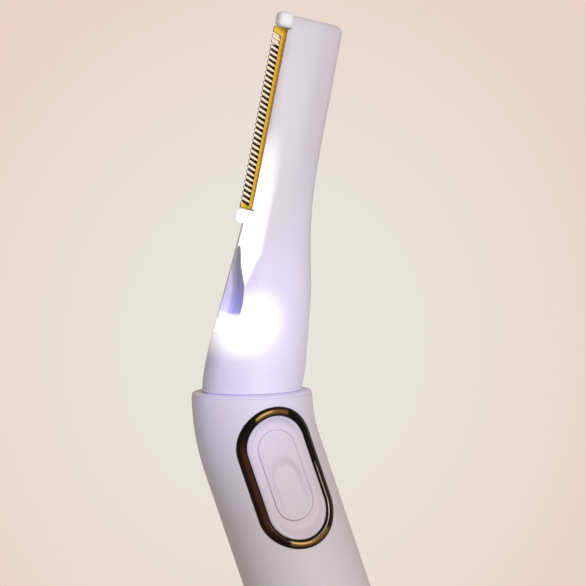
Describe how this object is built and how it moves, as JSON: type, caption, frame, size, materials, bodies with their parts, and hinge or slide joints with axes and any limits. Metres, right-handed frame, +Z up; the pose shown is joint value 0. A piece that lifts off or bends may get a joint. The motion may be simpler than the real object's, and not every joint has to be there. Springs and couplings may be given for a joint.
{
  "type": "electric body shaver",
  "caption": "Slim lighted electric body shaver: round bent handle with a ringed push switch, and a leaning pull-off head with a slanted comb blade along its left edge.",
  "frame": {"origin": "middle of the flat end of the battery cap, on which the shaver can stand", "axes": "+Z runs up the handle to the head, which leans towards +X, -Y is the front with the switch, and the blade looks towards -X"},
  "size_m": [0.0507, 0.0223, 0.1596],
  "materials": {
    "white_plastic": "glossy white moulding with a faint lilac tint",
    "panel_plastic": "satin off-white moulding",
    "inner_plastic": "matt light grey moulding",
    "bronze_plating": "mirror-like dark bronze plating",
    "gold_plating": "gold-coloured coating on sheet steel",
    "black_steel": "black coated sheet steel",
    "bright_steel": "plain bright steel",
    "clear_plastic": "clear polished plastic",
    "seal_rubber": "matt black rubber and plastic",
    "board_green": "green board laminate",
    "cell_sleeve": "plain blue sleeve",
    "lead_red": "red wire insulation"
  },
  "bodies": {
    "handle": {"barrel": "white_plastic", "neck_socket": "white_plastic", "switch_ring": "bronze_plating", "switch_panel": "panel_plastic", "chassis": "inner_plastic", "circuit_board": "board_green", "switch_body": "seal_rubber", "board_screw_left": "bright_steel", "board_screw_right": "bright_steel", "motor_can": "bright_steel", "motor_end_bell": "inner_plastic", "motor_lead": "lead_red", "battery_cell": "cell_sleeve", "positive_contact": "bright_steel", "negative_contact": "bright_steel", "led_lamp": "clear_plastic", "led_lead": "lead_red"},
    "rotor": {"motor_shaft": "bright_steel", "crank": "white_plastic"},
    "button": {"power_button": "panel_plastic"},
    "plunger": {"switch_plunger": "seal_rubber"},
    "cap": {"battery_cap": "white_plastic", "cap_seal": "seal_rubber", "cap_contact": "bright_steel", "battery_spring": "bright_steel"},
    "head": {"head_front_shell": "white_plastic", "head_back_shell": "white_plastic", "head_spigot": "inner_plastic", "neck_seal": "seal_rubber", "led_lens": "clear_plastic", "blade_frame": "white_plastic", "comb_blade": "gold_plating", "lever_pin": "bright_steel", "pressure_spring": "bright_steel"},
    "lever": {"drive_lever": "inner_plastic"},
    "cutter": {"cutter_blade": "black_steel", "cutter_carrier": "inner_plastic"}
  },
  "joints": [
    {"name": "rotor_spin", "type": "hinge", "parent": "handle", "child": "rotor", "pos_m": [0, 0.0028, 0.08295], "axis": [0, 0, 1], "continuous": true},
    {"name": "button_press", "type": "slide", "parent": "handle", "child": "button", "axis": [0, 1, 0], "range_m": [0, 0.0008], "stiffness_N_per_m": 1500},
    {"name": "plunger_press", "type": "slide", "parent": "handle", "child": "plunger", "axis": [0, 1, 0], "range_m": [0, 0.0008]},
    {"name": "cap_pull", "type": "slide", "parent": "handle", "child": "cap", "axis": [0, 0, -1], "range_m": [0, 0.025]},
    {"name": "head_pull", "type": "slide", "parent": "handle", "child": "head", "axis": [0.2924, 0, 0.9563], "range_m": [0, 0.03]},
    {"name": "lever_swing", "type": "hinge", "parent": "head", "child": "lever", "pos_m": [0.01198, 0.0028, 0.10624], "axis": [0, 1, 0], "range_deg": [-4.5, 4.5]},
    {"name": "cutter_slide", "type": "slide", "parent": "head", "child": "cutter", "axis": [0.515, 0, 0.8572], "range_m": [-0.000424, 0.000424]}
  ],
  "couplings": [
    {"joint": "plunger_press", "follows": "button_press", "ratio": 1},
    {"joint": "lever_swing", "follows": "cutter_slide", "rad_per_m": 185.19}
  ]
}
